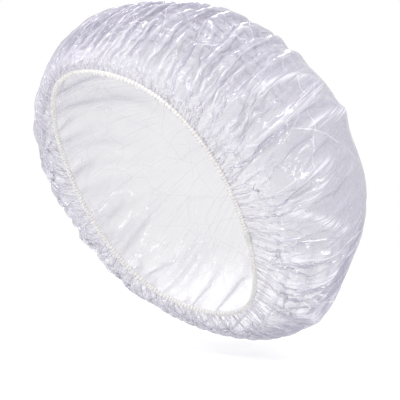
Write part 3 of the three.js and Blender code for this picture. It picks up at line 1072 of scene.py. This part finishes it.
fold_value, hem_distance = from_mesh(tree, "fold"), from_mesh(tree, "from_hem")
edge_on = add(tree, "ShaderNodeLayerWeight", {"Blend": 0.30}).outputs["Facing"]
off_hem = ramp(tree, hem_distance, 0.0, THIN_REACH, 0.42, 1.0)
white_hem = ramp(tree, hem_distance, 0.0, WHITE_REACH, 1.0, 0.0)
beside_hem = ramp(tree, hem_distance, 0.0, GATHER_REACH, 1.0, 0.0)
# Painted shade: fine darker grey lines in the gathers beside the hem, denser and greyer in colour.
painted_gather_shade = both(tree, streak_lines(tree, round_place, (64, 64, 2), 0.47, 0.60), beside_hem, "MULTIPLY")
density = weighed(
    tree,
    (painted_gather_shade, 0.0, 0.40),
    (cloud.outputs["Haze"], 0.16, 0.34),
    (edge_on, 0.0, 0.66),
    (fold_value, 0.0, 0.30),
    (streaks, 0.0, 0.12),
    (fine_streaks, 0.0, 0.03),
    (packet, 0.0, 0.16),
    (painted_crest_highlight, 0.0, 0.30),
    (wide_net.outputs["Crease"], 0.0, 0.04),
)
tree.links.new(both(tree, density, off_hem, "MULTIPLY"), surface.inputs["Alpha"])
# The film's colour is partly its own milky tone and partly painted light: painted highlight along the fold
# crests, painted shade in the gathers.
milky_tone_and_painted_light = weighed(
    tree,
    (painted_gather_shade, 0.0, -0.45),
    (white_hem, 0.0, 1.0),
    (fold_value, 0.0, 0.7),
    (streaks, 0.0, 0.35),
    (fine_streaks, 0.0, 0.3),
    (packet, 0.0, 0.9),
    (painted_crest_highlight, 0.0, 1.0),
)
tree.links.new(tinted(tree, milky_tone_and_painted_light, FILM_TINT, MILKY_AND_HIGHLIGHT_TINT), surface.inputs["Base Color"])
tree.links.new(blend_values(tree, cloud.outputs["Haze"], 0.08, 0.2), surface.inputs["Roughness"])
relief = weighed(
    tree,
    (wide_net.outputs["Crease"], 0.0, 0.4),
    (fine_net.outputs["Facet"], 0.0, 0.25),
    (wide_net.outputs["Facet"], 0.0, 0.4),
    (streaks, 0.0, 0.8),
    (fine_streaks, 0.0, 0.4),
    (packet, 0.0, 1.0),
)
raised(tree, surface, relief, 0.5, 0.0006)
surface.inputs["IOR"].default_value = FILM_IOR
crown_film.data.materials.append(film_finish)
print("film finish nodes:", len(tree.nodes))

# %% [markdown]
# ## The casing's finish
# In the hem two layers of film lie folded round the elastic, so it is almost white and only a little clear.
# The puckers have a painted highlight on their crests and painted shade in between,
# which draws the fine ladder along the edge.

# %% Mix the casing
HEM_NET, HEM_CLOUD = {"Creases per Metre": 420.0, "Crease Width": 0.08}, {"Patches per Metre": 60.0}
HEM_SHADE, HEM_LIGHT = (0.84, 0.82, 0.81), (1.0, 0.98, 0.96)

casing_finish, tree, surface = new_finish("gathered_hem_film")
hem_place = add(tree, "ShaderNodeTexCoord").outputs["Object"]
net = add(tree, "ShaderNodeGroup", HEM_NET, {"Place": hem_place}, node_tree=crinkle)
cloud = add(tree, "ShaderNodeGroup", HEM_CLOUD, {"Place": hem_place}, node_tree=haze)
# Painted highlight and shade: lighter on the pucker crests and greyer between them, with some random haze
# and crinkle tone.
crest = weighed(
    tree,
    (from_mesh(tree, "pucker"), 0.0, 0.7),
    (cloud.outputs["Haze"], -0.1, 0.3),
    (net.outputs["Crease"], 0.0, 0.2),
)
tree.links.new(tinted(tree, crest, HEM_SHADE, HEM_LIGHT), surface.inputs["Base Color"])
tree.links.new(blend_values(tree, crest, 0.66, 0.92), surface.inputs["Alpha"])
tree.links.new(blend_values(tree, cloud.outputs["Speckle"], 0.22, 0.45), surface.inputs["Roughness"])
raised(tree, surface, net.outputs["Crease"], 0.4, 0.0003)
casing.data.materials.append(casing_finish)
print("casing finish nodes:", len(tree.nodes))

# %% [markdown]
# ## Elastic and thread
# The strand is rubber under a spun cover, dull and a little cream. The thread is white polyester with a
# slight sheen. Their fibres are far finer than the film's creases, so they only break up the colour and the
# gloss.

# %% Mix the elastic and the thread
FUZZ, STRAND_SHADE, STRAND_LIGHT = {"Patches per Metre": 900.0}, (0.80, 0.77, 0.72), (0.96, 0.94, 0.90)
FIBRE, THREAD_SHADE, THREAD_LIGHT = {"Patches per Metre": 1600.0}, (0.74, 0.74, 0.75), (0.95, 0.95, 0.94)

elastic_finish, tree, surface = new_finish("covered_elastic")
strand_place = add(tree, "ShaderNodeTexCoord").outputs["Object"]
fuzz = add(tree, "ShaderNodeGroup", FUZZ, {"Place": strand_place}, node_tree=haze)
# Painted shade in the grooves between the strand's ribs, mixed with random fuzz tone.
rib_painted_shade_and_fuzz = weighed(tree, (from_mesh(tree, "rib"), 0.0, 0.7), (fuzz.outputs["Haze"], 0.0, 0.4))
cream = tinted(tree, rib_painted_shade_and_fuzz, STRAND_SHADE, STRAND_LIGHT)
tree.links.new(cream, surface.inputs["Base Color"])
tree.links.new(blend_values(tree, fuzz.outputs["Haze"], 0.7, 0.95), surface.inputs["Roughness"])
raised(tree, surface, rib_painted_shade_and_fuzz, 0.5, 0.0002)
strand.data.materials.append(elastic_finish)

thread_finish, tree, surface = new_finish("white_thread")
thread_place = add(tree, "ShaderNodeTexCoord").outputs["Object"]
fibre = add(tree, "ShaderNodeGroup", FIBRE, {"Place": thread_place}, node_tree=haze)
white = tinted(tree, fibre.outputs["Haze"], THREAD_SHADE, THREAD_LIGHT)
tree.links.new(white, surface.inputs["Base Color"])
tree.links.new(blend_values(tree, fibre.outputs["Haze"], 0.5, 0.8), surface.inputs["Roughness"])
raised(tree, surface, fibre.outputs["Haze"], 0.6, 0.0002)
for piece in (stitching, binding):
    piece.data.materials.append(thread_finish)
print("finishes:", [m.name for m in (film_finish, casing_finish, elastic_finish, thread_finish)])

# %% [markdown]
# ## Frame
# Each piece stands for its solid and rides on the hem, which is the body that stays still.

# %% Tie the pieces to the frame
stands_for = [
    (crown_film, "crown_film", "film"),
    (casing, "hem_casing", "hem"),
    (strand, "elastic_band", "elastic"),
    (stitching, "hem_stitching", "thread"),
    (binding, "elastic_join", "thread"),
]
for piece, node, slot in stands_for:
    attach(piece, "hem")
    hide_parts(node)
    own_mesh(piece)
visual_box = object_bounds()
paper_floor.location.z = visual_box[0].z - FLOOR_DROP
print("visual box, metres:", [tuple(round(c, 4) for c in corner) for corner in visual_box])
